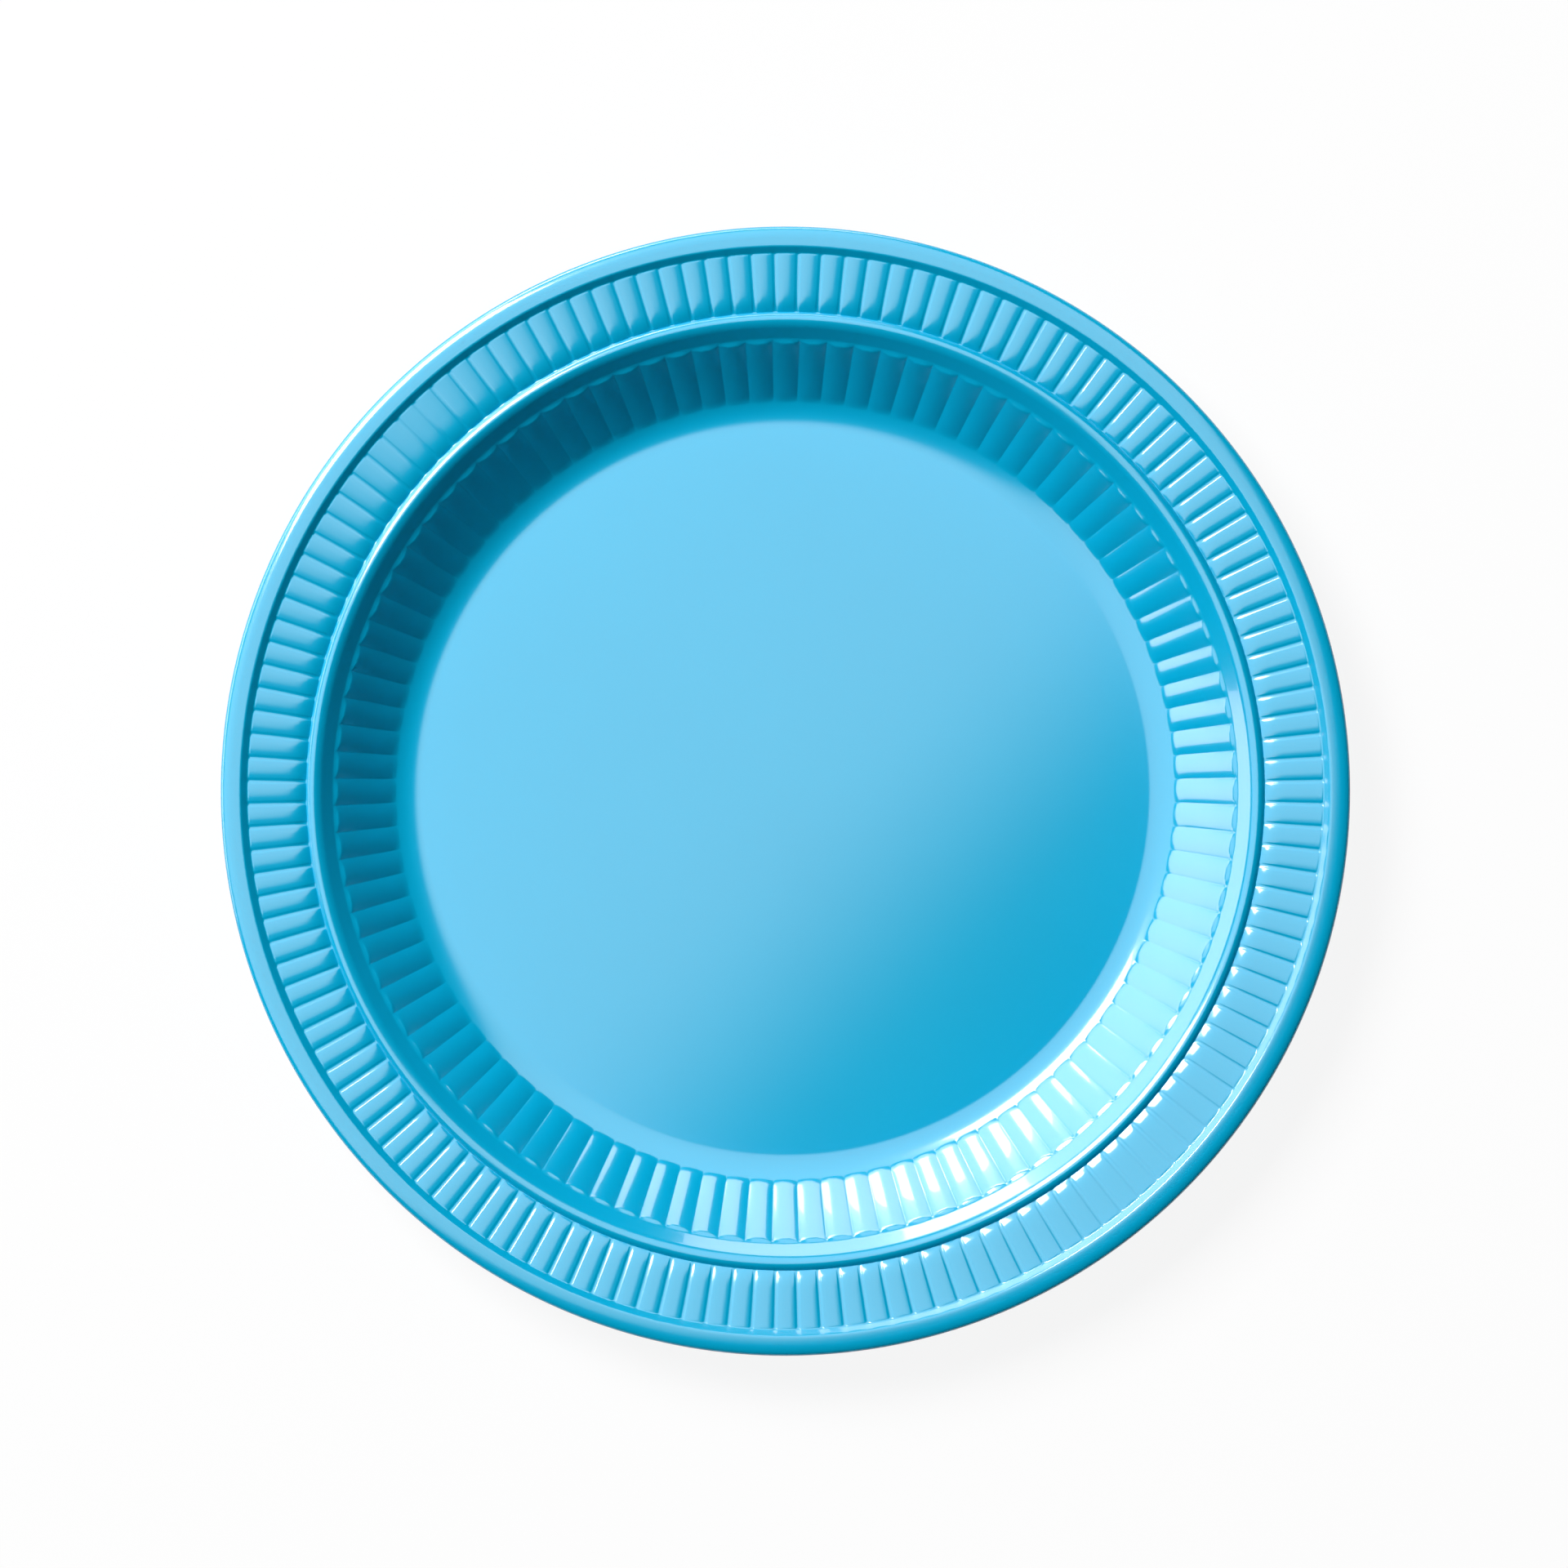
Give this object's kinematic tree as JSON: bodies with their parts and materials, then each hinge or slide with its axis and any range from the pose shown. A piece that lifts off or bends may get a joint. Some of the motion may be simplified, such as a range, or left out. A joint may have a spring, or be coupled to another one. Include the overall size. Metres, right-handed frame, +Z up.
{
  "type": "round fluted party plate",
  "caption": "Round one-piece plastic plate with a crowned floor, a fluted sloping wall, a fluted flat rim and a hollow rolled edge bead.",
  "frame": {"origin": "centre of the plate on the plane it stands on, so the underside of the foot ring is at Z = 0", "axes": "+Z up along the plate's axis, out of the open mouth; X and Y are level and equal by symmetry"},
  "size_m": [0.23, 0.23, 0.018],
  "materials": {
    "plate": "smooth glossy sky-blue sheet, opaque"
  },
  "bodies": {
    "root": {"plate": "plate"}
  },
  "joints": []
}
